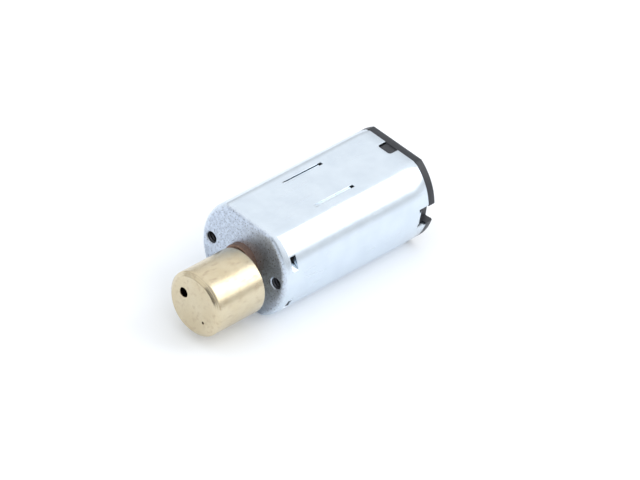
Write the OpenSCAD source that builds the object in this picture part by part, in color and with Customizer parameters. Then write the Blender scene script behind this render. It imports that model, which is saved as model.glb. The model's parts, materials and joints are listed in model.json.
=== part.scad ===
// Miniature flat-sided DC vibration motor with an eccentric brass weight on its shaft.
// The shaft runs along Y, the output end faces -Y, and Z is up, square to the two flats.
// The origin is on the shaft axis, in the plane of the can's front mounting face.
// Everything is in millimetres.

/* [Can] */
// Width of the can across its round sides
can_w = 12; // [11.9:0.05:12.2]
// Height of the can across its two flats
can_h = 10; // [9.9:0.05:10.1]
// Length of the can from its front face to its rear rim
can_l = 20.1; // [19.8:0.1:20.4]
// Thickness of the drawn sheet
can_t = 0.5; // [0.45:0.01:0.5]
// Radius of the soft corners between the flats and the round sides
corner_r = 1.5; // [1.3:0.1:1.7]
// Rounding of the front edge on the round sides
nose_r = 0.8; // [0.6:0.05:0.8]
// Rounding of the front edge on the flats
brow_r = 0.45; // [0.3:0.05:0.5]

/* [Mounting holes] */
// Distance between the two threaded holes
hole_pitch = 9; // [8.9:0.05:9]
// Core radius of the threaded holes, M1.6
hole_r = 0.62; // [0.55:0.01:0.65]
// Depth of the drawn collars behind the front face
thread_l = 1.3; // [1:0.05:1.4]

/* [Bearings and shaft] */
// Radius of the shaft
shaft_r = 0.5; // [0.48:0.01:0.5]
// Radial running clearance in the bearings
run_gap = 0.02; // [0.015:0.005:0.03]
// Radius of the front bearing's visible boss
boss_r = 2; // [1.9:0.05:2.1]
// How far the front boss stands out of the can
boss_out = 0.8; // [0.5:0.05:1]

/* [Eccentric weight] */
// Radius of the weight
weight_r = 3.48; // [3:0.02:3.5]
// Distance of the weight's centre from the shaft axis
weight_offset = 1.6; // [1.2:0.01:1.8]
// Angle of the weight's centre at rest, from +X towards +Z
weight_angle = -24.8; // [-180:0.1:180]
// Front face of the weight, ahead of the can's front face
weight_front = 8.25; // [7.5:0.05:9]
// Rear face of the weight, ahead of the can's front face
weight_rear = 1.8; // [1.2:0.05:2.5]
// Radial size of the weight's front chamfer
weight_chamfer = 0.5; // [0.2:0.02:0.6]

/* [End cap] */
// Depth of the flange behind the can's rim
flange_l = 0.95; // [0.9:0.01:1.2]
// Wall of the plug that enters the can
plug_wall = 0.7; // [0.6:0.05:0.8]

/* [Armature] */
// Radius of the laminated core
core_r = 4; // [3.9:0.02:4.02]
// Number of laminations in the stack
lamination_count = 16; // [8:1:16]
// Width of each pole's neck
neck_w = 1.6; // [1.4:0.05:1.7]

/* [Hidden] */

$fn = 96;
// Clearance of a pressed or seated joint, and how far a cutter runs past a face
press_gap = 0.005;
over = 0.5;

// Can
can_r = can_w / 2;
cavity_r = can_r - can_t;
front_t = 0.6;
edge_slack = 0.02;
bearing_r = 1.7;
collar_r = 2.2;
collar_end = 1.8;
hole_x = hole_pitch / 2;
hole_collar_r = 0.93;
hole_sink = 0.08;

// Two long lances in the top flat, which locate the magnets' edges
lance_x = 2.05;
lance_w = 0.35;
lance_y = 7.0;
lance_l = 5.05;
lance_bend = 0.6;
lance_step = 0.1;
lance_drop = 0.15;
lance_open = 0.35;

// Four small windows near the front, with tabs that stop the magnets
window_start = 18;
window_end = 32.5;
window_y = 0.9;
window_w = 0.75;
tab_bend = 42;

// Notches in the rear rim: keys on the flats, crimp lugs on the sides
key_notch_w = 1.7;
key_notch_y = can_l - 1.15;
key_w = 1.45;
key_y = can_l - 0.95;
key_drop = 0.15;
key_root = 0.3;
side_notch_w = 2.4;
side_notch_y = can_l - 1.3;
lug_w = 1.4;
lug_tip_x = 5.05;
lug_t = 0.42;

// Magnets and their spring
magnet_in_r = 4.25;
magnet_out_r = cavity_r - 0.02;
magnet_x = 2.55;
magnet_z = 4.2;
magnet_y0 = 1.8;
magnet_y1 = 13.3;
wire_r = 0.2;
wire_x = magnet_x - wire_r - 0.02;
wire_z = -(can_h / 2 - can_t - wire_r - 0.02);
spring_y0 = 2.5;
spring_bend_y = 10.6;

// Armature, from front to rear along the shaft
shaft_y0 = -(weight_front - 1.65);
shaft_y1 = 21.5;
front_washer_y = 2.0;
spacer_y = 2.3;
core_y0 = 4.2;
core_y1 = 12.2;
insulator_t = 0.25;
lamination_gap = 0.02;
tip_in_r = 3.4;
tip_angle = 51;
hub_r = 1.6;
coil_in_r = 1.75;
coil_out_r = 3.3;
coil_angle = 57;
coil_end = 0.95;
coil_round = 0.4;
pole_angles = [90, 210, 330];

// Commutator
comm_y0 = core_y1 + insulator_t;
comm_shoulder_y = 14.35;
comm_y1 = 17.9;
comm_core_r = 1.15;
comm_r = 1.45;
segment_y0 = 14.4;
segment_y1 = 17.6;
segment_angle = 54.5;
riser_r = 2.4;
riser_w = 0.7;
riser_t = 0.25;
ring_y = 14.75;
ring_w = 0.4;
ring_r = 1.75;
rear_washer_l = 0.25;

// End cap, brushes and terminals
plug_gap = 0.02;
plug_y0 = can_l - 3;
floor_y = can_l - 1.3;
flange_y = can_l + flange_l;
flange_chamfer = 0.2;
pocket_x = 4.95;
pocket_w = 2.1;
pocket_y = side_notch_y + 0.12;
rear_bearing_r = 1.3;
rear_bearing_y0 = 18.25;
rear_bearing_y1 = 21.35;
rear_boss_r = 2.1;
rear_boss_y = 21.6;
terminal_x = 3.9;
terminal_t = 0.25;
terminal_w = 1.5;
terminal_y0 = 15.5;
terminal_y1 = 22.6;
terminal_hole_r = 0.35;
brush_t = 0.1;
brush_y0 = 15.35;
brush_w = 1.95;
finger_gap = 0.15;
brush_x = terminal_x - terminal_t / 2 - press_gap - brush_t / 2;
contact_x = comm_r + 0.03 + brush_t / 2;

// Helpers ------------------------------------------------------------------

function arc(centre, r, from, to, steps = 8) =
    [for (i = [0:steps]) let (a = from + (to - from) * i / steps)
        centre + r * [cos(a), sin(a)]];

function segment_normal(path, i) =
    let (d = path[i + 1] - path[i]) [-d.y, d.x] / norm(d);

function mitre(path, i) =
    i == 0 ? segment_normal(path, 0)
    : i == len(path) - 1 ? segment_normal(path, i - 1)
    : let (a = segment_normal(path, i - 1), b = segment_normal(path, i))
        (a + b) / (1 + a * b);

// Outline of a strip of thickness t that follows a path
function strip(path, t) = concat(
    [for (i = [0:len(path) - 1]) path[i] + mitre(path, i) * t / 2],
    [for (i = [len(path) - 1:-1:0]) path[i] - mitre(path, i) * t / 2]);

// A flat outline in X and Z, extruded along Y
module along_y(y0, y1) {
    translate([0, y1, 0])
        rotate([90, 0, 0])
            linear_extrude(y1 - y0) children();
}

// A flat outline in Y and Z, extruded along X
module along_x(x0, x1) {
    translate([x0, 0, 0])
        rotate([90, 0, 90])
            linear_extrude(x1 - x0) children();
}

// A flat outline in X and Y, extruded along Z
module along_z(z0, z1) {
    translate([0, 0, z0])
        linear_extrude(z1 - z0) children();
}

// A profile of radius and Y, turned about the shaft axis
module turned() {
    rotate([-90, 0, 0])
        rotate_extrude() children();
}

module rod(r, y0, y1) {
    along_y(y0, y1) circle(r);
}

module tube(r_in, r_out, y0, y1) {
    along_y(y0, y1) ring(r_in, r_out);
}

module ring(r_in, r_out) {
    difference() {
        circle(r_out);
        circle(r_in);
    }
}

// A wedge of the plane about +X, out past radius r
module wedge(r, half_angle) {
    reach = r * 1.1;
    polygon([[0, 0], [reach, -reach * tan(half_angle)], [reach, reach * tan(half_angle)]]);
}

module both_sides() {
    children();
    mirror([1, 0, 0]) children();
}

module both_flats() {
    children();
    mirror([0, 0, 1]) children();
}

// Section of the can, moved inwards by an even distance
module can_outline(inset) {
    r = can_r - inset;
    h = can_h / 2 - inset;
    c = corner_r - inset;
    cx = sqrt(pow(r - c, 2) - pow(h - c, 2));
    cz = h - c;
    side = atan2(cz, cx);
    square([2 * cx, 2 * h], center = true);
    for (s = [0, 180])
        rotate(s)
            intersection() {
                circle(r);
                wedge(r, side);
            }
    for (sx = [-1, 1], sz = [-1, 1])
        translate([sx * cx, sz * cz]) circle(c, $fn = 48);
}

// Can ------------------------------------------------------------------------

// Cutter that rounds the front edge on the round sides
module nose_cutter() {
    r = can_r + edge_slack - nose_r;
    turned()
        difference() {
            translate([r, -over]) square(nose_r + over);
            translate([r, nose_r]) circle(nose_r);
        }
}

// Cutter that rounds the front edge of the upper flat
module brow_cutter() {
    h = can_h / 2 + edge_slack - brow_r;
    along_x(-can_w, can_w)
        difference() {
            translate([-over, h]) square(brow_r + over);
            translate([brow_r, h]) circle(brow_r);
        }
}

// Solid outer form with its rounded front edges
module can_form() {
    difference() {
        along_y(0, can_l) can_outline(0);
        nose_cutter();
        both_flats() brow_cutter();
    }
}

module window_cut() {
    along_y(window_y, window_y + window_w)
        rotate((window_start + window_end) / 2)
            intersection() {
                ring(cavity_r - over, can_r + over);
                wedge(can_r + over, (window_end - window_start) / 2);
            }
}

// Tab sheared from a window and pushed in about its end near the side's middle
module window_tab() {
    hinge = can_r * [cos(window_start), sin(window_start)];
    sweep = window_end - window_start - 1;
    along_y(window_y + 0.03, window_y + window_w - 0.03)
        translate(hinge)
            rotate(tab_bend)
                translate(-hinge)
                    rotate(window_start + sweep / 2)
                        intersection() {
                            ring(cavity_r, can_r);
                            wedge(can_r, sweep / 2);
                        }
}

module lance_cut() {
    along_x(lance_x, lance_x + lance_w)
        translate([lance_y, can_h / 2 - can_t - over])
            square([lance_l + lance_open, can_t + 2 * over]);
}

// Long tongue, joined to the flat at its front and pushed in along the rest
module lance_tongue() {
    top = can_h / 2;
    under = top - can_t + 0.03;
    root = lance_y - 0.1;
    bend = lance_y + lance_bend;
    tip = lance_y + lance_l;
    along_x(lance_x + 0.02, lance_x + lance_w - 0.02)
        polygon([[root, top], [lance_y, top], [bend, top - lance_step], [tip, top - lance_drop],
            [tip, under - lance_drop], [bend, under - lance_step], [lance_y, under], [root, under]]);
}

module key_notch() {
    along_z(can_h / 2 - can_t - over, can_h / 2 + over) {
        r = 0.3;
        half = key_notch_w / 2;
        polygon(concat([[half, can_l + over], [-half, can_l + over]],
            arc([r - half, key_notch_y + r], r, 180, 270, 4),
            arc([half - r, key_notch_y + r], r, 270, 360, 4)));
    }
}

module side_notch() {
    translate([cavity_r - over, side_notch_y, -side_notch_w / 2])
        cube([can_t + 2 * over, can_l, side_notch_w]);
}

// Lug of the side wall, folded in over the end cap's ledge
module crimp_lug() {
    mid_x = can_r - can_t / 2 - 0.04;
    bend = 0.38;
    root_y = side_notch_y - 0.1;
    path = concat([[mid_x, root_y]],
        arc([mid_x - bend, side_notch_y + 0.02], bend, 0, 90, 6),
        [[lug_tip_x, side_notch_y + 0.02 + bend]]);
    along_z(-lug_w / 2, lug_w / 2) polygon(strip(path, lug_t));
}

module housing() {
    color("lightsteelblue")
        difference() {
            union() {
                difference() {
                    can_form();
                    along_y(front_t, can_l + over) can_outline(can_t);
                    both_sides() {
                        lance_cut();
                        side_notch();
                        both_flats() window_cut();
                    }
                    both_flats() key_notch();
                }
                both_sides() {
                    lance_tongue();
                    crimp_lug();
                    both_flats() window_tab();
                    translate([hole_x, 0, 0]) rod(hole_collar_r, front_t / 2, thread_l);
                }
                rod(collar_r, front_t / 2, collar_end);
            }
            rod(bearing_r + press_gap, -over, collar_end + over);
            both_sides()
                translate([hole_x, 0, 0]) {
                    rod(hole_r, -over, thread_l + over);
                    turned()
                        polygon([[0, -over], [hole_r + hole_sink + over, -over], [hole_r, hole_sink],
                            [0, hole_sink]]);
                }
        }
}

// Front bearing and magnets ----------------------------------------------------

module front_bearing() {
    color("peru")
        turned()
            polygon([[shaft_r + run_gap, -boss_out], [boss_r - 0.12, -boss_out],
                [boss_r, -boss_out + 0.12], [boss_r, 0], [bearing_r, 0],
                [bearing_r, front_washer_y - 0.1], [shaft_r + run_gap, front_washer_y - 0.1]]);
}

module magnet() {
    color("dimgray")
        along_y(magnet_y0, magnet_y1)
            intersection() {
                ring(magnet_in_r, magnet_out_r);
                translate([magnet_x, -magnet_z]) square([can_w, 2 * magnet_z]);
            }
}

module magnet_right() {
    magnet();
}

module magnet_left() {
    mirror([1, 0, 0]) magnet();
}

// Hairpin of round wire that spreads the magnets' lower edges against the can
module magnet_spring() {
    color("silver")
        translate([0, 0, wire_z]) {
            both_sides()
                translate([wire_x, 0, 0]) rod(wire_r, spring_y0, spring_bend_y);
            translate([0, spring_bend_y, 0])
                rotate_extrude(angle = 180)
                    translate([wire_x, 0]) circle(wire_r, $fn = 32);
        }
}

// End cap, rear bearing, terminals and brushes -----------------------------------

module flange_outline(inset) {
    intersection() {
        circle(can_r - 0.02 - inset);
        square([can_w, can_h - 0.04 - 2 * inset], center = true);
    }
}

module end_cap() {
    color("darkslategray")
        difference() {
            union() {
                along_y(can_l, flange_y - flange_chamfer) flange_outline(0);
                along_y(flange_y - flange_chamfer, flange_y) flange_outline(flange_chamfer);
                difference() {
                    along_y(plug_y0, can_l) can_outline(can_t + plug_gap);
                    along_y(plug_y0 - over, floor_y) can_outline(can_t + plug_gap + plug_wall);
                }
                both_flats()
                    along_z(can_h / 2 - can_t - key_root, can_h / 2 - key_drop)
                        translate([-key_w / 2, key_y]) square([key_w, can_l - key_y]);
                rod(rear_boss_r, rear_bearing_y0, rear_boss_y);
            }
            rod(rear_bearing_r + press_gap, plug_y0, rear_boss_y + over);
            both_sides() {
                translate([pocket_x, pocket_y, -pocket_w / 2])
                    cube([can_w, flange_l + can_l, pocket_w]);
                translate([terminal_x - terminal_t / 2 - press_gap, floor_y - over, -terminal_w / 2 - press_gap])
                    cube([terminal_t + 2 * press_gap, can_l, terminal_w + 2 * press_gap]);
            }
        }
}

module rear_bearing() {
    color("peru")
        tube(shaft_r + run_gap, rear_bearing_r, rear_bearing_y0, rear_bearing_y1);
}

module terminal() {
    half = terminal_w / 2;
    nip = 0.3;
    color("gold")
        along_x(terminal_x - terminal_t / 2, terminal_x + terminal_t / 2)
            difference() {
                polygon([[terminal_y0, -half], [terminal_y1 - nip, -half], [terminal_y1, nip - half],
                    [terminal_y1, half - nip], [terminal_y1 - nip, half], [terminal_y0, half]]);
                translate([terminal_y1 - 2 * terminal_hole_r, 0]) circle(terminal_hole_r, $fn = 32);
            }
}

module terminal_right() {
    terminal();
}

module terminal_left() {
    mirror([1, 0, 0]) terminal();
}

// Leaf brush: a flat base on the terminal, folded back to bear on the commutator
module brush() {
    path = [[brush_x, -0.6], [brush_x, 2.5], [3.35, 2.85], [2.2, 1.3], [contact_x, 0.55],
        [contact_x, -0.7], [1.75, -1.0]];
    finger = (brush_w - 2 * finger_gap) / 3;
    color("goldenrod")
        difference() {
            along_y(brush_y0, brush_y0 + brush_w) polygon(strip(path, brush_t));
            for (i = [1, 2])
                translate([0, brush_y0 + i * finger + (i - 1) * finger_gap, -can_h])
                    cube([3, finger_gap, 2 * can_h]);
        }
}

module brush_right() {
    brush();
}

// The left brush is the right one turned half round the shaft, as the two face each other
module brush_left() {
    rotate([0, 180, 0]) brush();
}

// Armature -----------------------------------------------------------------------

module shaft() {
    tip = 0.1;
    color("gainsboro")
        turned()
            polygon([[0, shaft_y0], [shaft_r - tip, shaft_y0], [shaft_r, shaft_y0 + tip],
                [shaft_r, shaft_y1 - tip], [shaft_r - tip, shaft_y1], [0, shaft_y1]]);
}

module front_washer() {
    color("ivory")
        tube(shaft_r + press_gap, 1.4, front_washer_y, spacer_y - press_gap);
}

module spacer_collar() {
    color("khaki")
        tube(shaft_r + press_gap, 1.2, spacer_y, core_y0 - insulator_t - press_gap);
}

// One three-pole plate
module pole_plate(tip_r0, tip_r1) {
    difference() {
        union() {
            circle(hub_r);
            for (a = pole_angles)
                rotate(a) {
                    translate([0, -neck_w / 2]) square([tip_r0 + 0.2, neck_w]);
                    intersection() {
                        ring(tip_r0, tip_r1);
                        wedge(tip_r1, tip_angle);
                    }
                }
        }
        circle(shaft_r + press_gap);
    }
}

module core_laminations() {
    pitch = (core_y1 - core_y0) / lamination_count;
    color("slategray")
        for (i = [0:lamination_count - 1])
            along_y(core_y0 + i * pitch, core_y0 + (i + 1) * pitch - lamination_gap)
                pole_plate(tip_in_r, core_r);
}

module insulator(y0) {
    color("firebrick")
        along_y(y0, y0 + insulator_t - press_gap) pole_plate(tip_in_r + 0.05, core_r - 0.1);
}

module insulator_front() {
    insulator(core_y0 - insulator_t);
}

module insulator_rear() {
    insulator(core_y1);
}

// Winding of one pole: a rounded bundle with a window for the pole's neck
module coil(angle) {
    y0 = core_y0 - insulator_t - coil_end;
    y1 = core_y1 + insulator_t + coil_end;
    r = coil_round;
    window = 0.02;
    color("chocolate")
        rotate([0, -angle, 0])
            difference() {
                intersection() {
                    turned()
                        polygon(concat(
                            arc([coil_in_r + r, y0 + r], r, 180, 270, 4),
                            arc([coil_out_r - r, y0 + r], r, 270, 360, 4),
                            arc([coil_out_r - r, y1 - r], r, 0, 90, 4),
                            arc([coil_in_r + r, y1 - r], r, 90, 180, 4)));
                    along_y(y0 - over, y1 + over) wedge(coil_out_r, coil_angle);
                }
                translate([0, core_y0 - insulator_t - window, -neck_w / 2 - window])
                    cube([can_r, core_y1 - core_y0 + 2 * (insulator_t + window), neck_w + 2 * window]);
            }
}

module commutator_core() {
    r = comm_core_r - press_gap;
    bore = shaft_r + press_gap;
    color("saddlebrown")
        turned()
            polygon([[bore, comm_y0], [hub_r, comm_y0], [hub_r, comm_shoulder_y],
                [r, comm_shoulder_y], [r, comm_y1], [bore, comm_y1]]);
}

module commutator_segment(angle) {
    color("darkorange")
        rotate([0, -angle, 0]) {
            along_y(segment_y0, segment_y1)
                intersection() {
                    ring(comm_core_r, comm_r);
                    wedge(comm_r, segment_angle);
                }
            along_y(segment_y0, segment_y0 + riser_t)
                translate([comm_core_r + 0.1, -riser_w / 2])
                    square([riser_r - comm_core_r - 0.1, riser_w]);
        }
}

module commutator_ring() {
    color("ivory")
        tube(comm_r + press_gap, ring_r, ring_y, ring_y + ring_w);
}

module rear_washer() {
    color("ivory")
        tube(shaft_r + press_gap, 1.1, comm_y1 + press_gap, comm_y1 + rear_washer_l);
}

// Eccentric weight ------------------------------------------------------------------

module eccentric_weight() {
    chamfer_l = 0.42;
    mark_r = 0.12;
    cx = weight_offset * cos(weight_angle);
    cz = weight_offset * sin(weight_angle);
    color("darkkhaki")
        difference() {
            translate([cx, 0, cz])
                turned()
                    polygon([[0, -weight_front], [weight_r - weight_chamfer, -weight_front],
                        [weight_r, chamfer_l - weight_front], [weight_r, -weight_rear],
                        [0, -weight_rear]]);
            rod(shaft_r + press_gap, -weight_front - over, over - weight_rear);
            translate([cx + 1.55, -weight_front, cz - 1.2]) rod(mark_r, -over, mark_r);
        }
}

housing();
front_bearing();
magnet_left();
magnet_right();
magnet_spring();
end_cap();
rear_bearing();
terminal_left();
terminal_right();
brush_left();
brush_right();
shaft();
front_washer();
spacer_collar();
core_laminations();
insulator_front();
insulator_rear();
coil(pole_angles[0]);  // coil_a
coil(pole_angles[1]);  // coil_b
coil(pole_angles[2]);  // coil_c
commutator_core();
commutator_segment(pole_angles[0] + 60);  // commutator_segment_a
commutator_segment(pole_angles[1] + 60);  // commutator_segment_b
commutator_segment(pole_angles[2] + 60);  // commutator_segment_c
commutator_ring();
rear_washer();
eccentric_weight();
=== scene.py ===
import json
import math
import bmesh
import bpy
from mathutils import Matrix, Vector


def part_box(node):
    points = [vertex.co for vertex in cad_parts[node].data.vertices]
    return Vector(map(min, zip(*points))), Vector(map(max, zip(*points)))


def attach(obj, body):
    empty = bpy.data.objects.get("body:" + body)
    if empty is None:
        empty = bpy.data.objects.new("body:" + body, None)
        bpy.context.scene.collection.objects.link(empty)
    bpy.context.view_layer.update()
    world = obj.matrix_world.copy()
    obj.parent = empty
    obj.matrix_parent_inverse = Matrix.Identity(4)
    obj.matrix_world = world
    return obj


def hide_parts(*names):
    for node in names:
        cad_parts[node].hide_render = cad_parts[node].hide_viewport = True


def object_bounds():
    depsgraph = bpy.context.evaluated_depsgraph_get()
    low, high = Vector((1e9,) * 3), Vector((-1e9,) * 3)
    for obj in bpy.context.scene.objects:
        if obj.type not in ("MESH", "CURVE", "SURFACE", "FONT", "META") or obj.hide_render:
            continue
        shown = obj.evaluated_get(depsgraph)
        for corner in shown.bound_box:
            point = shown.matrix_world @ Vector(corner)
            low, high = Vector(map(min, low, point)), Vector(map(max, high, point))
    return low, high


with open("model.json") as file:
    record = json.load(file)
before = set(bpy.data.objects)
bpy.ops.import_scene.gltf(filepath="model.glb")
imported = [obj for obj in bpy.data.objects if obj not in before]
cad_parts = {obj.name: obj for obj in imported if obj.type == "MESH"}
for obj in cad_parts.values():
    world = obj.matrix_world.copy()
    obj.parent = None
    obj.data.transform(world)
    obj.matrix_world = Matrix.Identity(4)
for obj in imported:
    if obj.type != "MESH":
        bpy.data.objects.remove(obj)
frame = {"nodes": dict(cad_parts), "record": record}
cad_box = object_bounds()

MM = 0.001
# Points round a turned piece
SEGMENTS = 192
# Points left by a cut and closer than this, in millimetres, are joined
JOIN_REACH = 0.012
# Edges that turn by more than this are bevelled
BEVEL_ANGLE = math.radians(38)


# Places and sizes from the frame, in millimetres ------------------------------

def box_mm(node):
    low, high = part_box(node)
    return Vector(low) / MM, Vector(high) / MM


CAN_HIGH = box_mm("housing")[1]
CAP_LOW, CAP_HIGH = box_mm("end_cap")
BOSS_LOW, BOSS_HIGH = box_mm("front_bearing")
WEIGHT_LOW, WEIGHT_HIGH = box_mm("eccentric_weight")
SHAFT_LOW, SHAFT_HIGH = box_mm("shaft")

CAN_R = CAN_HIGH.x
CAN_H = CAN_HIGH.z
SHAFT_R = SHAFT_HIGH.x
WEIGHT_R = (WEIGHT_HIGH.x - WEIGHT_LOW.x) / 2
WEIGHT_X = (WEIGHT_HIGH.x + WEIGHT_LOW.x) / 2
WEIGHT_Z = (WEIGHT_HIGH.z + WEIGHT_LOW.z) / 2


# Sizes that the frame doesn't state, in millimetres -----------------------------

BOTH = (1, -1)
CAN_T, CAN_CORNER = 0.5, 1.5
NOSE_R, BROW_R = 0.8, 0.45
HOLE_X, HOLE_R = 4.5, 0.62
THREAD_GROOVE = 0.1
NOTCH_L = 1.3
WINDOW_START, WINDOW_END = math.radians(18), math.radians(32.5)
WINDOW_Y, WINDOW_W = 0.9, 0.75
LANCE_X, LANCE_W, LANCE_Y, LANCE_L = 2.05, 0.35, 7.0, 5.05
LANCE_OPEN = 0.35
MARK_R, MARK_X, MARK_Z = 0.12, WEIGHT_X + 1.55, WEIGHT_Z - 1.2
PRESS_GAP, RUN_GAP = 0.005, 0.02


# Mesh helpers ---------------------------------------------------------------

def link(obj):
    bpy.context.scene.collection.objects.link(obj)
    return obj


def circle_ring(y, radius, cx=0.0, cz=0.0):
    steps = [2 * math.pi * i / SEGMENTS for i in range(SEGMENTS)]
    return [(cx + radius * math.cos(a), y, cz + radius * math.sin(a)) for a in steps]


def rounded_profile(corners):
    """Corners are (radius, y, rounding); each rounded corner becomes a short curve."""
    steps = 5
    path = []
    for i, (r, y, rounding) in enumerate(corners):
        here = Vector((r, y))
        if rounding == 0:
            path.append(here)
            continue
        before = Vector(corners[i - 1][:2]) - here
        after = Vector(corners[(i + 1) % len(corners)][:2]) - here
        start = here + before.normalized() * rounding
        end = here + after.normalized() * rounding
        for step in range(steps + 1):
            t = step / steps
            path.append(start * (1 - t) ** 2 + here * 2 * t * (1 - t) + end * t ** 2)
    return path


def prism(outline, axis, start, end, flip=(1, 1, 1)):
    """A closed shell: a flat outline drawn square to one axis and pulled along it."""
    order = {"x": (2, 0, 1), "y": (0, 2, 1), "z": (0, 1, 2)}[axis]
    count = len(outline)
    points = []
    for level in (start, end):
        for a, b in outline:
            spot = (a, b, level)
            points.append(tuple(spot[order[i]] * flip[i] for i in range(3)))
    faces = [tuple(range(count)), tuple(range(2 * count - 1, count - 1, -1))]
    faces += [(i, (i + 1) % count, count + (i + 1) % count, count + i) for i in range(count)]
    return points, faces


def block(low, high, flip=(1, 1, 1)):
    outline = [(low[0], low[1]), (high[0], low[1]), (high[0], high[1]), (low[0], high[1])]
    return prism(outline, "z", low[2], high[2], flip)


def lathe(profile, cx=0.0, cz=0.0, count=48):
    """A closed shell turned about an axis along Y from (radius, y) points, capped at both ends."""
    points = []
    for r, y in profile:
        for i in range(count):
            a = 2 * math.pi * i / count
            points.append((cx + r * math.cos(a), y, cz + r * math.sin(a)))
    faces = [tuple(range(count)), tuple(range(len(points) - 1, len(points) - 1 - count, -1))]
    for i in range(len(profile) - 1):
        for j in range(count):
            k = (j + 1) % count
            faces.append((i * count + j, i * count + k, (i + 1) * count + k, (i + 1) * count + j))
    return points, faces


def ring_shell(rings):
    """A closed shell through rings of equal length; the last ring joins the first."""
    count = len(rings[0])
    faces = []
    for i in range(len(rings)):
        a, b = i * count, (i + 1) % len(rings) * count
        faces += [(a + j, a + (j + 1) % count, b + (j + 1) % count, b + j) for j in range(count)]
    return [p for ring in rings for p in ring], faces


def face_outwards(work):
    """Turns faces to agree with their neighbours, and all of them out of the solid."""
    bmesh.ops.recalc_face_normals(work, faces=work.faces)
    if work.calc_volume(signed=True) < 0:
        bmesh.ops.reverse_faces(work, faces=work.faces)


def shell_object(name, shells):
    """One object from closed shells, still in millimetres so that cuts and bevels stay accurate."""
    mesh = bpy.data.meshes.new(name)
    points, faces = [], []
    for shell_points, shell_faces in shells:
        base = len(points)
        points += shell_points
        faces += [tuple(base + i for i in face) for face in shell_faces]
    mesh.from_pydata(points, [], faces)
    work = bmesh.new()
    work.from_mesh(mesh)
    face_outwards(work)
    work.to_mesh(mesh)
    work.free()
    return link(bpy.data.objects.new(name, mesh))


def bake(obj):
    """Applies the object's modifiers to its mesh."""
    graph = bpy.context.evaluated_depsgraph_get()
    mesh = bpy.data.meshes.new_from_object(obj.evaluated_get(graph))
    obj.modifiers.clear()
    obj.data = mesh


def tidy_mesh(obj, reach):
    """Joins points closer than reach and removes the faces that this leaves without area."""
    work = bmesh.new()
    work.from_mesh(obj.data)
    bmesh.ops.remove_doubles(work, verts=work.verts, dist=reach)
    bmesh.ops.dissolve_degenerate(work, dist=reach / 4, edges=work.edges)
    face_outwards(work)
    work.to_mesh(obj.data)
    work.free()


def combine(obj, operation, shells, reach=JOIN_REACH, solver="EXACT"):
    """Adds the shells to the object or cuts them out of it."""
    tool = shell_object("tool", shells)
    cut = obj.modifiers.new("combine", "BOOLEAN")
    cut.operation = operation
    cut.solver = solver
    cut.use_self = solver == "EXACT"
    cut.object = tool
    bake(obj)
    bpy.data.objects.remove(tool)
    tidy_mesh(obj, reach)


def soften(obj, width):
    """Rounds the sharp edges off, in two steps."""
    bevel = obj.modifiers.new("soften", "BEVEL")
    bevel.width = width
    bevel.segments = 2
    bevel.limit_method = "ANGLE"
    bevel.angle_limit = BEVEL_ANGLE
    bevel.use_clamp_overlap = False
    bevel.loop_slide = True
    bake(obj)
    tidy_mesh(obj, width / 20)


def absorb(obj, other):
    """Adds another object's shells to this one."""
    work = bmesh.new()
    work.from_mesh(obj.data)
    work.from_mesh(other.data)
    work.to_mesh(obj.data)
    work.free()
    bpy.data.objects.remove(other)


def to_metres(obj, sharp=50):
    """Brings a finished mesh from millimetres to metres and smooths its shading."""
    obj.data.transform(Matrix.Scale(MM, 4))
    obj.data.shade_smooth()
    obj.data.set_sharp_from_angle(angle=math.radians(sharp))
    normals = obj.modifiers.new("normals", "WEIGHTED_NORMAL")
    normals.keep_sharp = True


def finish_piece(piece, body, slot, node):
    """Gives the piece its body and material, in place of one CAD node."""
    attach(piece, body)
    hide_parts(node)
    piece.data.materials.clear()
    piece.data.materials.append(MATERIALS[slot])


# Materials ------------------------------------------------------------------

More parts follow.
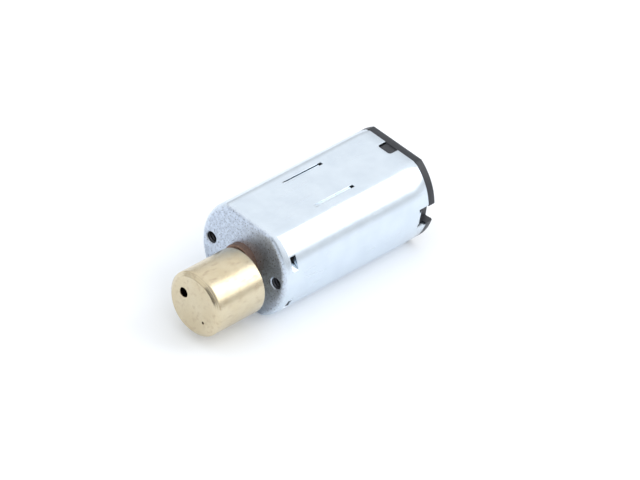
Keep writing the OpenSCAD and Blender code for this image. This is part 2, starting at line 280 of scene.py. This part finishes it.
class Nodes:
    """Short names for building one Principled material in millimetre object coordinates."""

    def __init__(self, name, base, metallic, roughness):
        self.material = bpy.data.materials.new(name)
        self.material.use_nodes = True
        self.tree = self.material.node_tree
        self.shader = self.tree.nodes["Principled BSDF"]
        self.shader.inputs["Base Color"].default_value = (*base, 1)
        self.shader.inputs["Metallic"].default_value = metallic
        self.shader.inputs["Roughness"].default_value = roughness
        self.place = self.add("ShaderNodeMapping")
        self.place.inputs["Scale"].default_value = (1 / MM, 1 / MM, 1 / MM)
        self.join(self.add("ShaderNodeTexCoord").outputs["Object"], self.place.inputs["Vector"])

    def add(self, kind):
        return self.tree.nodes.new(kind)

    def join(self, out, into):
        self.tree.links.new(out, into)

    def stretch(self, scale):
        node = self.add("ShaderNodeMapping")
        node.inputs["Scale"].default_value = scale
        self.join(self.place.outputs["Vector"], node.inputs["Vector"])
        return node.outputs["Vector"]

    def noise(self, scale, detail=4, stretch=(1, 1, 1)):
        node = self.add("ShaderNodeTexNoise")
        node.inputs["Scale"].default_value = scale
        node.inputs["Detail"].default_value = detail
        self.join(self.stretch(stretch), node.inputs["Vector"])
        return node.outputs["Fac"]

    def remap(self, value, low, high, to_low, to_high):
        node = self.add("ShaderNodeMapRange")
        for socket, number in zip(("From Min", "From Max", "To Min", "To Max"),
                                  (low, high, to_low, to_high)):
            node.inputs[socket].default_value = number
        self.join(value, node.inputs["Value"])
        return node.outputs["Result"]

    def math(self, operation, a, b=0):
        node = self.add("ShaderNodeMath")
        node.operation = operation
        for socket, value in zip(node.inputs, (a, b)):
            if isinstance(value, (int, float)):
                socket.default_value = value
            else:
                self.join(value, socket)
        return node.outputs["Value"]

    def mix(self, factor, a, b):
        node = self.add("ShaderNodeMix")
        node.data_type = "RGBA"
        self.join(factor, node.inputs["Factor"])
        for socket, value in ((node.inputs[6], a), (node.inputs[7], b)):
            if isinstance(value, tuple):
                socket.default_value = (*value, 1)
            else:
                self.join(value, socket)
        return node.outputs[2]

    def axis(self, name):
        node = self.add("ShaderNodeSeparateXYZ")
        self.join(self.place.outputs["Vector"], node.inputs["Vector"])
        return node.outputs[name]

    def distance(self, x, z):
        """Distance from an axis along Y, in millimetres."""
        dx = self.math("SUBTRACT", self.axis("X"), x)
        dz = self.math("SUBTRACT", self.axis("Z"), z)
        square = self.math("ADD", self.math("MULTIPLY", dx, dx), self.math("MULTIPLY", dz, dz))
        return self.math("SQRT", square)

    def bump(self, height, strength, distance):
        node = self.add("ShaderNodeBump")
        node.inputs["Strength"].default_value = strength
        node.inputs["Distance"].default_value = distance * MM
        self.join(height, node.inputs["Height"])
        self.join(node.outputs["Normal"], self.shader.inputs["Normal"])

    def colour(self, out):
        self.join(out, self.shader.inputs["Base Color"])

    def rough(self, out):
        self.join(out, self.shader.inputs["Roughness"])


def thread_hole_shade(n):
    """Where the walls of the two threaded holes are, for painted shade inside the holes."""
    fade, first, full, last, end = 0.04, 0.12, 0.22, 1.5, 1.8
    across = n.math("SUBTRACT", n.math("ABSOLUTE", n.axis("X")), HOLE_X)
    reach = n.math("ADD", n.math("MULTIPLY", across, across), n.math("MULTIPLY", n.axis("Z"), n.axis("Z")))
    wall_r = HOLE_R + THREAD_GROOVE
    inside = n.remap(n.math("SQRT", reach), wall_r, wall_r + fade, 1, 0)
    ahead = n.remap(n.axis("Y"), first, full, 0, 1)
    behind = n.remap(n.axis("Y"), last, end, 1, 0)
    return n.math("MULTIPLY", inside, n.math("MULTIPLY", ahead, behind))


def window_wall_shade(n):
    """Where the wall at each window's far edge is, for painted shade in the window and a duller finish."""
    margin, fade, wall_h = 0.02, 0.04, 0.4
    edge = (CAN_R - CAN_T) * math.sin(WINDOW_END)
    deep = n.remap(n.distance(0.0, 0.0), CAN_R - 0.08, CAN_R - 0.03, 1, 0)
    level = n.math("ABSOLUTE", n.axis("Z"))
    far = n.math("MULTIPLY", n.remap(level, edge - 0.1, edge - 0.05, 0, 1),
                 n.remap(level, edge + wall_h, edge + wall_h + 0.05, 1, 0))
    start, end = WINDOW_Y - margin, WINDOW_Y + WINDOW_W + margin
    along = n.math("MULTIPLY", n.remap(n.axis("Y"), start - fade, start, 0, 1),
                   n.remap(n.axis("Y"), end, end + fade, 1, 0))
    return n.math("MULTIPLY", n.math("MULTIPLY", deep, far), along)


def can_steel():
    """Bright plated sheet: faint draw lines along the can, mottled and pitted on the front face."""
    n = Nodes("can_steel", (0.68, 0.75, 0.84), 1, 0.24)
    cloud = n.noise(0.5, 3)
    drawn = n.noise(3.0, 3, (1, 0.06, 1))
    mottle = n.noise(2.4, 6)
    specks = n.noise(6.5, 3)
    face = n.remap(n.axis("Y"), 0.02, 0.3, 1, 0)
    plain = n.mix(n.remap(cloud, 0.35, 0.65, 0, 1), (0.655, 0.73, 0.81), (0.70, 0.775, 0.85))
    dull = n.mix(n.remap(mottle, 0.36, 0.64, 0, 1), (0.50, 0.56, 0.66), (0.66, 0.735, 0.845))
    # Painted shade: the lower part of the front face is darkened grey, where the weight shades the face
    painted_lower_shade = n.math("MULTIPLY", face, n.remap(n.axis("Z"), -3.6, -0.8, 0.6, 0))
    dull = n.mix(painted_lower_shade, dull, (0.27, 0.315, 0.375))
    pits = n.remap(specks, 0.575, 0.65, 0, 0.9)
    sheet = n.mix(n.math("MULTIPLY", face, pits), n.mix(face, plain, dull), (0.16, 0.17, 0.19))
    # Painted shade: the walls of the threaded holes and of the windows' far edges are darkened, and made
    # rougher
    painted_recess_shade = n.math("MAXIMUM", thread_hole_shade(n), window_wall_shade(n))
    n.colour(n.mix(painted_recess_shade, sheet, (0.11, 0.115, 0.13)))
    n.rough(n.math("ADD", n.remap(drawn, 0.3, 0.7, 0.22, 0.28),
                   n.math("MULTIPLY", n.math("MAXIMUM", face, painted_recess_shade), 0.2)))
    n.bump(n.math("ADD", n.math("MULTIPLY", drawn, 0.12), n.math("MULTIPLY", face, specks)), 0.3, 0.02)
    return n.material


def weight_brass():
    """Turned brass: rings about the weight's own axis on the faces, fine tool lines round the side."""
    n = Nodes("weight_brass", (0.86, 0.77, 0.57), 1, 0.25)
    radius = n.distance(WEIGHT_X, WEIGHT_Z)
    ring_pitch = 0.16
    line_pitch = 0.11
    rings = n.math("SINE", n.math("MULTIPLY", radius, 2 * math.pi / ring_pitch))
    lines = n.math("SINE", n.math("MULTIPLY", n.axis("Y"), 2 * math.pi / line_pitch))
    tarnish = n.noise(0.55, 4)
    stain = n.noise(2.6, 4, (1, 0.35, 1))
    clean = n.mix(n.remap(tarnish, 0.35, 0.65, 0, 1), (0.635, 0.545, 0.38), (0.675, 0.595, 0.435))
    stained = n.mix(n.remap(stain, 0.54, 0.76, 0, 0.5), clean, (0.42, 0.31, 0.2))
    # The bore's rim is darkened as painted shade, and the punch mark is darkened too
    bore = n.remap(n.distance(0.0, 0.0), SHAFT_R + PRESS_GAP, SHAFT_R + 0.04, 1, 0)
    mark = n.remap(n.distance(MARK_X, MARK_Z), MARK_R, MARK_R + 0.06, 1, 0)
    n.colour(n.mix(n.math("MAXIMUM", bore, mark), stained, (0.07, 0.045, 0.03)))
    n.rough(n.math("ADD", n.remap(tarnish, 0.3, 0.7, 0.19, 0.25), n.remap(stain, 0.5, 0.8, 0, 0.06)))
    n.bump(n.math("ADD", rings, n.math("MULTIPLY", lines, 0.8)), 0.3, 0.01)
    return n.material


def cap_plastic():
    """Moulded black plastic with a fine grain and a slight cool sheen."""
    n = Nodes("cap_plastic", (0.03, 0.032, 0.038), 0, 0.42)
    n.shader.inputs["Specular IOR Level"].default_value = 0.42
    n.colour(n.mix(n.remap(n.noise(0.9, 3), 0.3, 0.7, 0, 1), (0.022, 0.024, 0.029), (0.036, 0.039, 0.048)))
    n.rough(n.remap(n.noise(4.0, 4), 0.3, 0.7, 0.34, 0.5))
    n.bump(n.noise(14.0, 3), 0.25, 0.015)
    return n.material


def bronze():
    """Sintered bronze: dull copper-brown with open grain."""
    n = Nodes("bronze", (0.34, 0.2, 0.13), 1, 0.45)
    grain = n.noise(9.0, 4)
    n.colour(n.mix(n.remap(grain, 0.35, 0.65, 0, 1), (0.17, 0.11, 0.085), (0.32, 0.21, 0.155)))
    n.rough(n.remap(grain, 0.3, 0.7, 0.38, 0.6))
    n.bump(grain, 0.4, 0.02)
    return n.material


def worked(name, base, metallic, roughness, scale, spread=0.16, stretch=(1, 1, 1), depth=0.01):
    """A material with its colour, roughness and relief varied by one grain of the given scale."""
    n = Nodes(name, base, metallic, roughness)
    grain = n.noise(scale, 4, stretch)
    dark = tuple(c * (1 - spread) for c in base)
    light = tuple(min(1, c * (1 + spread)) for c in base)
    n.colour(n.mix(n.remap(grain, 0.35, 0.65, 0, 1), dark, light))
    n.rough(n.remap(grain, 0.3, 0.7, roughness * 0.85, min(1, roughness * 1.2)))
    n.bump(grain, 0.3, depth)
    return n.material


ALONG = (1, 0.08, 1)
MATERIALS = {
    "can_steel": can_steel(),
    "weight_brass": weight_brass(),
    "cap_plastic": cap_plastic(),
    "bronze": bronze(),
    "ferrite": worked("ferrite", (0.09, 0.09, 0.1), 0, 0.7, 6, 0.25, depth=0.02),
    "spring_steel": worked("spring_steel", (0.62, 0.63, 0.66), 1, 0.28, 5, stretch=ALONG),
    "terminal_brass": worked("terminal_brass", (0.8, 0.78, 0.7), 1, 0.3, 3, 0.1),
    "brush_alloy": worked("brush_alloy", (0.82, 0.62, 0.36), 1, 0.28, 4),
    "shaft_steel": worked("shaft_steel", (0.7, 0.71, 0.74), 1, 0.2, 8, 0.08, (1, 4, 1), 0.004),
    "washer_plastic": worked("washer_plastic", (0.84, 0.82, 0.74), 0, 0.5, 3, 0.06),
    "spacer_plastic": worked("spacer_plastic", (0.7, 0.57, 0.32), 0, 0.5, 3, 0.1),
    "core_steel": worked("core_steel", (0.36, 0.37, 0.4), 1, 0.45, 4),
    "insulation": worked("insulation", (0.5, 0.11, 0.08), 0, 0.55, 7, 0.12),
    "copper_wire": worked("copper_wire", (0.72, 0.32, 0.14), 1, 0.28, 9, 0.2, ALONG, 0.03),
    "commutator_moulding": worked("commutator_moulding", (0.28, 0.13, 0.065), 0, 0.5, 4),
    "commutator_copper": worked("commutator_copper", (0.82, 0.46, 0.28), 1, 0.25, 5, 0.12, (1, 5, 1)),
}


def dress_cad_nodes():
    """Every CAD node takes the material of its own slot."""
    for part in frame["record"]["subparts"]:
        node = frame["nodes"][part["node"]]
        node.data.materials.clear()
        node.data.materials.append(MATERIALS[part["material_slot"]])


# Outline of the can and the cap --------------------------------------------------

def outline(radius, height, corner):
    """(x, z, outward normal, share of flat) round a section with round sides and two flats."""
    cx = math.sqrt((radius - corner) ** 2 - (height - corner) ** 2)
    cz = height - corner
    side = math.atan2(cz, cx)
    side_steps, corner_steps, flat_steps = 32, 12, 10
    quarter = []
    for i in range(side_steps):
        a = side * i / side_steps
        quarter.append((radius * math.cos(a), radius * math.sin(a), a, 0.0))
    for i in range(corner_steps + 1):
        a = side + (math.pi / 2 - side) * i / corner_steps
        quarter.append((cx + corner * math.cos(a), cz + corner * math.sin(a), a, i / corner_steps))
    for i in range(1, flat_steps + 1):
        quarter.append((cx * (1 - i / flat_steps), height, math.pi / 2, 1.0))
    back = [(-x, z, math.pi - a, flat) for x, z, a, flat in quarter[-2::-1]]
    upper = quarter + back
    lower = [(x, -z, -a, flat) for x, z, a, flat in upper[-2:0:-1]]
    return upper + lower


def section(shape, y, inset):
    """The outline at one place along the can, moved inwards along its own normals."""
    ring = []
    for x, z, a, flat in shape:
        by = inset(flat) if callable(inset) else inset
        ring.append((x - by * math.cos(a), y, z - by * math.sin(a)))
    return ring


def toward_circle(ring, y, radius, share=0.0):
    """The ring pulled onto a circle about the shaft, or part of the way back to itself."""
    result = []
    for x, _, z in ring:
        reach = math.hypot(x, z)
        grown = radius / reach * (1 - share) + share
        result.append((x * grown, y, z * grown))
    return result


# Pieces -----------------------------------------------------------------------

def nose(flat):
    """Rounding of the front edge: wide on the round sides, tighter on the flats."""
    ease = flat * flat * (3 - 2 * flat)
    return NOSE_R * (1 - ease) + BROW_R * ease


def housing_shell():
    """Wall of the can as rings: front face, rolled edge, outside, inside and bearing collar."""
    shape = outline(CAN_R, CAN_H, CAN_CORNER)
    front_t, bore_r, collar_r, collar_end = 0.6, 1.705, 2.2, 1.8
    face = section(shape, 0.0, nose)
    rings = [toward_circle(face, 0.0, bore_r, share) for share in (0.0, 0.15, 0.45, 0.75, 0.93)]
    steps = 10
    for i in range(steps + 1):
        turn = math.pi / 2 * i / steps
        ring = []
        for x, z, a, flat in shape:
            r = nose(flat)
            by = r * (1 - math.sin(turn))
            ring.append((x - by * math.cos(a), r * (1 - math.cos(turn)), z - by * math.sin(a)))
        rings.append(ring)
    rear = CAN_HIGH.y
    for y in (0.87, 1.7, 3.4, 6.8, 9.8, 12.7, 15.6, 18.6, rear):
        rings.append(section(shape, y, 0.0))
    for y in (rear, 18.6, 12.7, 6.8, 1.7, front_t):
        rings.append(section(shape, y, CAN_T))
    inner = rings[-1]
    rings.append(toward_circle(inner, front_t, collar_r))
    rings.append(toward_circle(inner, collar_end, collar_r))
    rings.append(toward_circle(inner, collar_end, bore_r))
    return ring_shell(rings)


def threaded_hole(x):
    """Cutter for a mounting hole: a small countersink, then thread grooves."""
    pitch, mouth, depth = 0.35, 0.1, 1.7
    profile = [(HOLE_R + mouth + 0.1, -0.1), (HOLE_R, mouth)]
    y = mouth
    while y + pitch < depth:
        profile += [(HOLE_R, y + pitch * 0.25), (HOLE_R + THREAD_GROOVE, y + pitch * 0.6),
                    (HOLE_R, y + pitch * 0.95)]
        y += pitch
    profile.append((HOLE_R, depth))
    return lathe(profile, x, 0.0)


def sector(inner_r, outer_r, start, end):
    """Outline of a piece of a ring between two angles."""
    steps = 8
    angles = [start + (end - start) * i / steps for i in range(steps + 1)]
    outer = [(outer_r * math.cos(a), outer_r * math.sin(a)) for a in angles]
    return outer + [(inner_r * math.cos(a), inner_r * math.sin(a)) for a in reversed(angles)]


def window_tab(flip):
    """Tab sheared from a window and pushed in about its edge near the middle of the side."""
    bend, gap, side_gap = math.radians(42), math.radians(1), 0.04
    hinge = Vector((math.cos(WINDOW_START), math.sin(WINDOW_START))) * CAN_R
    turn = Matrix.Rotation(bend, 2)
    flat = sector(CAN_R - CAN_T, CAN_R, WINDOW_START - gap, WINDOW_END - gap)
    bent = [tuple(hinge + turn @ (Vector(p) - hinge)) for p in flat]
    return prism(bent, "y", WINDOW_Y + side_gap, WINDOW_Y + WINDOW_W - side_gap, flip)


def lance_tongue(side):
    """Long tongue, joined to the flat at its front and pushed in along the rest."""
    inner_gap, outer_gap, step, drop, run, root = 0.012, 0.07, 0.1, 0.15, 0.6, 0.1
    top, under = CAN_H - 0.002, CAN_H - CAN_T + 0.03
    tip, knee = LANCE_Y + LANCE_L, LANCE_Y + run
    path = [(LANCE_Y - root, top), (LANCE_Y, top), (knee, CAN_H - step), (tip, CAN_H - drop),
            (tip, under - drop), (knee, under - step), (LANCE_Y, under), (LANCE_Y - root, under)]
    return prism(path, "x", LANCE_X + inner_gap, LANCE_X + LANCE_W - outer_gap, (side, 1, 1))


def rounded_slot(half, y0, y1, r):
    """Outline of a slot, open towards +Y, with two rounded corners."""
    arc = [math.pi / 2 * i / 6 for i in range(7)]
    left = [(-half + r - r * math.cos(a), y0 + r - r * math.sin(a)) for a in arc]
    right = [(-x, y) for x, y in reversed(left)]
    return [(-half, y1)] + left + right + [(half, y1)]


def crimp_lug(side):
    """Lug of the side wall, folded in over the cap's ledge."""
    notch_y = CAN_HIGH.y - NOTCH_L
    bend, lug_w, lug_t, tip_x = 0.38, 1.4, 0.42, 5.05
    mid_x = CAN_R - CAN_T / 2 - 0.04
    base = notch_y + 0.02
    outer, inner = [(mid_x + lug_t / 2, notch_y - 0.1)], [(mid_x - lug_t / 2, notch_y - 0.1)]
    for i in range(9):
        a = math.pi / 2 * i / 8
        for row, r in ((outer, bend + lug_t / 2), (inner, bend - lug_t / 2)):
            row.append((mid_x - bend + r * math.cos(a), base + r * math.sin(a)))
    outer.append((tip_x, base + bend + lug_t / 2))
    inner.append((tip_x, base + bend - lug_t / 2))
    return prism(outer + inner[::-1], "z", -lug_w / 2, lug_w / 2, (side, 1, 1))


def housing():
    """Drawn can with rolled front edge, threaded holes, lances, windows, notches and lugs."""
    rear, past = CAN_HIGH.y, CAN_HIGH.y + 0.5
    collar_r, collar_start, collar_end = 0.93, 0.35, 1.3
    notch_half, key_half, key_l, key_corner = 1.2, 0.85, 1.15, 0.3
    # Levels where the cutters start inside the can and end outside it, and the windows' margin
    side_in, side_out, flat_in, flat_out, over = 5.0, 6.5, 4.0, 5.5, 0.4
    collar = [(collar_r, collar_start), (collar_r, collar_end)]
    collars = [lathe(collar, side * HOLE_X) for side in BOTH]
    cuts = [threaded_hole(side * HOLE_X) for side in BOTH]
    window = sector(CAN_R - CAN_T - over, CAN_R + over, WINDOW_START, WINDOW_END)
    lance_end = LANCE_Y + LANCE_L + LANCE_OPEN
    for sx in BOTH:
        low, high = (LANCE_X, LANCE_Y, flat_in), (LANCE_X + LANCE_W, lance_end, flat_out)
        cuts.append(block(low, high, (sx, 1, 1)))
        cuts.append(block((side_in, rear - NOTCH_L, -notch_half), (side_out, past, notch_half), (sx, 1, 1)))
        for sz in BOTH:
            cuts.append(prism(window, "y", WINDOW_Y, WINDOW_Y + WINDOW_W, (sx, 1, sz)))
    key_slot = rounded_slot(key_half, rear - key_l, past, key_corner)
    for sz in BOTH:
        cuts.append(prism(key_slot, "z", flat_in, flat_out, (1, 1, sz)))
    piece = shell_object("can_shell", [housing_shell()])
    combine(piece, "UNION", collars)
    combine(piece, "DIFFERENCE", cuts)
    soften(piece, 0.02)
    folds = [lance_tongue(sx) for sx in BOTH] + [crimp_lug(sx) for sx in BOTH]
    folds += [window_tab((sx, 1, sz)) for sx in BOTH for sz in BOTH]
    tabs = shell_object("folds", folds)
    soften(tabs, 0.02)
    absorb(piece, tabs)
    to_metres(piece)
    finish_piece(piece, "stator", "can_steel", "housing")


def terminal(side):
    """Tinned tab with nipped corners, a solder hole and sheared, softened edges."""
    low, high = box_mm("terminal_right")
    half, nip, hole_r, hole_steps, over = high.z, 0.3, 0.35, 40, 0.2
    path = [(low.y, -half), (high.y - nip, -half), (high.y, nip - half), (high.y, half - nip),
            (high.y - nip, half), (low.y, half)]
    name = "terminal_right" if side > 0 else "terminal_left"
    piece = shell_object("tab_" + name, [prism(path, "x", low.x, high.x, (side, 1, 1))])
    hole_y = high.y - 2 * hole_r
    turns = [2 * math.pi * i / hole_steps for i in range(hole_steps)]
    hole = [(hole_y + hole_r * math.cos(a), hole_r * math.sin(a)) for a in turns]
    combine(piece, "DIFFERENCE", [prism(hole, "x", low.x - over, high.x + over, (side, 1, 1))])
    soften(piece, 0.035)
    to_metres(piece)
    finish_piece(piece, "stator", "terminal_brass", name)


def shaft():
    """Ground shaft with rounded ends."""
    front, rear, tip = SHAFT_LOW.y, SHAFT_HIGH.y, 0.12
    arcs = [math.pi / 2 * i / 5 for i in range(6)]
    profile = [(SHAFT_R - tip + tip * math.sin(a), front + tip - tip * math.cos(a)) for a in arcs]
    profile += [(SHAFT_R, (front + rear) / 2)]
    profile += [(SHAFT_R - tip + tip * math.cos(a), rear - tip + tip * math.sin(a)) for a in arcs]
    piece = shell_object("ground_shaft", [lathe(profile)])
    to_metres(piece)
    finish_piece(piece, "rotor", "shaft_steel", "shaft")


def rear_bearing():
    """Plain bush with a countersunk mouth, seated in the cap's boss."""
    low, high = box_mm("rear_bearing")
    bore_r, mouth = SHAFT_R + RUN_GAP, 0.12
    corners = [(bore_r, low.y + mouth, 0), (bore_r, high.y - mouth, 0), (bore_r + mouth, high.y, 0),
               (high.x, high.y, 0.1), (high.x, low.y, 0.1), (bore_r + mouth, low.y, 0)]
    rings = [circle_ring(y, r) for r, y in rounded_profile(corners)]
    piece = shell_object("rear_bush", [ring_shell(rings)])
    to_metres(piece)
    finish_piece(piece, "stator", "bronze", "rear_bearing")


def end_cap():
    """Moulded cap: keyed plug, flange with a softened rim, pockets, boss and terminal slots."""
    rear_can, flange, boss_y, floor_y = CAN_HIGH.y, CAN_HIGH.y + 0.95, CAP_HIGH.y, CAN_HIGH.y - 1.3
    inset, rim, fit = 0.02, 0.16, 0.02
    wall = fit + 0.7
    shape = outline(CAN_R - inset, CAN_H - inset, rim)
    plug = outline(CAN_R, CAN_H, CAN_CORNER)
    bore_r, boss_r, boss_front, boss_edge = 1.305, 2.1, 18.25, 0.1
    edge = section(shape, flange, rim)
    rings = [toward_circle(edge, boss_front, bore_r), toward_circle(edge, boss_y, bore_r)]
    rings += [toward_circle(edge, boss_y, boss_r - boss_edge),
              toward_circle(edge, boss_y - boss_edge, boss_r),
              toward_circle(edge, flange, boss_r)]
    # A shallow moulded groove runs round the boss
    groove_in, groove_out, groove_l, slope = 2.3, 2.6, 0.08, 0.04
    for r, depth in ((groove_in, 0), (groove_in + slope, groove_l), (groove_out - slope, groove_l),
                     (groove_out, 0)):
        rings.append(toward_circle(edge, flange - depth, r))
    for i in range(6):
        turn = math.pi / 2 * i / 5
        rings.append(section(shape, flange - rim * (1 - math.cos(turn)), rim * (1 - math.sin(turn))))
    rings.append(section(shape, rear_can, 0.0))
    rings.append(section(plug, rear_can, CAN_T + fit))
    rings.append(section(plug, CAP_LOW.y, CAN_T + fit))
    rings.append(section(plug, CAP_LOW.y, CAN_T + wall))
    rings.append(section(plug, floor_y, CAN_T + wall))
    rings.append(toward_circle(edge, floor_y, boss_r))
    rings.append(toward_circle(edge, boss_front, boss_r))
    piece = shell_object("cap_moulding", [ring_shell(rings)])
    keys, cuts = [], []
    key_half, key_front, key_back = 0.69, rear_can - 0.93, rear_can + 0.2
    key_low, key_high = 4.2, CAN_H - 0.15
    pocket_in, pocket_out, pocket_half, pocket_front = 4.95, 6.5, 1.05, rear_can - 1.18
    slot_in, slot_out, slot_half, slot_front = 3.77, 4.03, 0.755, floor_y - 0.3
    past = boss_y + 0.5
    for s in BOTH:
        keys.append(block((-key_half, key_front, key_low), (key_half, key_back, key_high), (1, 1, s)))
        cuts.append(block((pocket_in, pocket_front, -pocket_half),
                          (pocket_out, past, pocket_half), (s, 1, 1)))
        cuts.append(block((slot_in, slot_front, -slot_half), (slot_out, past, slot_half), (s, 1, 1)))
    combine(piece, "UNION", keys)
    combine(piece, "DIFFERENCE", cuts)
    soften(piece, 0.045)
    to_metres(piece)
    finish_piece(piece, "stator", "cap_plastic", "end_cap")


def eccentric_weight():
    """Turned cylinder with softened edges and its bore off centre."""
    chamfer_r, chamfer_l = 0.5, 0.42
    soft, rim, bore_r = 0.09, 0.06, SHAFT_R + PRESS_GAP
    rim_r = bore_r + rim
    front, rear = WEIGHT_LOW.y, WEIGHT_HIGH.y
    # Wide enough for its ring to go round the bore
    face_r = WEIGHT_R - chamfer_r - 0.25
    corners = [(bore_r, rear - rim, 0), (bore_r, front + rim, 0), (rim_r, front, 0),
               (face_r, front, 0), (WEIGHT_R - chamfer_r, front, soft),
               (WEIGHT_R, front + chamfer_l, soft), (WEIGHT_R, (front + rear) / 2, 0),
               (WEIGHT_R, rear, soft), (face_r, rear, 0), (rim_r, rear, 0)]
    rings = []
    for r, y in rounded_profile(corners):
        # Rings pass from the bore's centre to the cylinder's own centre as they grow
        share = min(1, max(0, (r - rim_r) / (face_r - rim_r)))
        rings.append(circle_ring(y, r, WEIGHT_X * share, WEIGHT_Z * share))
    piece = shell_object("brass_weight", [ring_shell(rings)])
    over, mark_steps, fine_reach = 0.06, 16, 0.0001
    mark = [(MARK_R * 1.6, front - over), (MARK_R, front), (MARK_R * 0.3, front + MARK_R)]
    combine(piece, "DIFFERENCE", [lathe(mark, MARK_X, MARK_Z, mark_steps)], fine_reach, "MANIFOLD")
    to_metres(piece, 35)
    finish_piece(piece, "rotor", "weight_brass", "eccentric_weight")


def front_bearing():
    """Boss of the front bearing, its rim rounded, with its shank inside the can."""
    bore_r, shank_r, boss_r, mouth = SHAFT_R + RUN_GAP, 1.7, BOSS_HIGH.x, 0.1
    front, rear = BOSS_LOW.y, BOSS_HIGH.y
    corners = [(bore_r, rear, 0), (bore_r, front + mouth, 0), (bore_r + mouth, front, 0),
               (boss_r, front, 0.16), (boss_r, 0, 0), (shank_r, 0, 0), (shank_r, rear, 0.1)]
    rings = [circle_ring(y, r) for r, y in rounded_profile(corners)]
    piece = shell_object("bearing_boss", [ring_shell(rings)])
    to_metres(piece)
    finish_piece(piece, "stator", "bronze", "front_bearing")


# Camera, floor and light --------------------------------------------------------

def make_camera():
    """Camera of the photo: a long lens, above the output end and turned a little about its own axis."""
    azimuth, elevation, roll = math.radians(39.242), math.radians(38.012), math.radians(8.87)
    forward = Vector((-math.sin(azimuth) * math.cos(elevation),
                      math.cos(azimuth) * math.cos(elevation), -math.sin(elevation)))
    level = forward.cross(Vector((0, 0, 1))).normalized()
    upright = level.cross(forward)
    right = level * math.cos(roll) + upright * math.sin(roll)
    up = upright * math.cos(roll) - level * math.sin(roll)
    focal, distance = 365.57, 643.31 * MM
    aim = Vector((1.2414, 9.7336, -1.2687)) * MM
    data = bpy.data.cameras.new("camera")
    data.lens = focal
    data.sensor_width = 36
    data.clip_start = 0.01
    camera = link(bpy.data.objects.new("camera", data))
    axes = Matrix((right, up, -forward)).transposed().to_4x4()
    camera.matrix_world = Matrix.Translation(aim - forward * distance) @ axes
    bpy.context.scene.camera = camera


def panel(name, direction, distance, width, height, roll):
    """A flat rectangle that faces the motor from one direction."""
    place = Vector(direction).normalized() * distance
    corners = [(-width / 2, -height / 2, 0), (width / 2, -height / 2, 0),
               (width / 2, height / 2, 0), (-width / 2, height / 2, 0)]
    mesh = bpy.data.meshes.new(name)
    mesh.from_pydata(corners, [], [(0, 1, 2, 3)])
    card = link(bpy.data.objects.new(name, mesh))
    turn = place.to_track_quat("Z", "Y").to_matrix().to_4x4() @ Matrix.Rotation(roll, 4, "Z")
    card.matrix_world = Matrix.Translation(place) @ turn
    return card


def make_floor():
    """Pale paper under the motor."""
    reach = 3.0
    level = cad_box[0][2]
    mesh = bpy.data.meshes.new("floor")
    mesh.from_pydata([(-reach, -reach, level), (reach, -reach, level), (reach, reach, level),
                      (-reach, reach, level)], [], [(0, 1, 2, 3)])
    floor = link(bpy.data.objects.new("floor", mesh))
    n = Nodes("floor_paper", (0.9, 0.92, 0.95), 0, 0.9)
    n.shader.inputs["Emission Color"].default_value = (0.86, 0.94, 1, 1)
    n.shader.inputs["Emission Strength"].default_value = 0.08
    n.rough(n.remap(n.noise(0.2, 2), 0.3, 0.7, 0.86, 0.94))
    mesh.materials.append(n.material)


def make_light():
    """White tent, one softbox behind to the right, and a dark card ahead for darker reflections."""
    world = bpy.data.worlds.new("tent")
    bpy.context.scene.world = world
    world.use_nodes = True
    tree = world.node_tree
    background = tree.nodes["Background"]
    background.inputs["Color"].default_value = (0.98, 0.99, 1, 1)
    # The tent is brightest overhead and falls off towards the horizon
    height = tree.nodes.new("ShaderNodeSeparateXYZ")
    fall = tree.nodes.new("ShaderNodeMapRange")
    low, high, dim, bright = 0.1, 0.6, 0.72, 1.15
    for socket, number in (("From Min", low), ("From Max", high), ("To Min", dim), ("To Max", bright)):
        fall.inputs[socket].default_value = number
    tree.links.new(tree.nodes.new("ShaderNodeTexCoord").outputs["Generated"], height.inputs["Vector"])
    tree.links.new(height.outputs["Z"], fall.inputs["Value"])
    tree.links.new(fall.outputs["Result"], background.inputs["Strength"])
    box = bpy.data.lights.new("softbox", "AREA")
    box.shape = "RECTANGLE"
    box.size = 0.45
    box.size_y = 0.7
    box.energy = 1.9
    lamp = link(bpy.data.objects.new("softbox", box))
    aim = Vector((0.5, 0.61, 0.615)).normalized()
    away = 0.8
    lamp.matrix_world = Matrix.Translation(aim * away) @ aim.to_track_quat("Z", "Y").to_matrix().to_4x4()
    dark = Nodes("dark_card", (0.03, 0.032, 0.035), 0, 0.8)
    dark.rough(dark.remap(dark.noise(0.2, 2), 0.3, 0.7, 0.75, 0.85))
    # It stands where the weight's chamfer mirrors it towards the camera
    card_way, card_away, card_w, card_h, card_roll = (0.25, -0.87, 0.3), 0.75, 0.21, 0.6, math.radians(50)
    card = panel("camera_card", card_way, card_away, card_w, card_h, card_roll)
    card.data.materials.append(dark.material)
    card.visible_camera = False
    card.visible_shadow = False
    bpy.context.scene.view_settings.view_transform = "Standard"


make_camera()
make_floor()
make_light()
dress_cad_nodes()
housing()
end_cap()
for side in BOTH:
    terminal(side)
shaft()
rear_bearing()
eccentric_weight()
front_bearing()
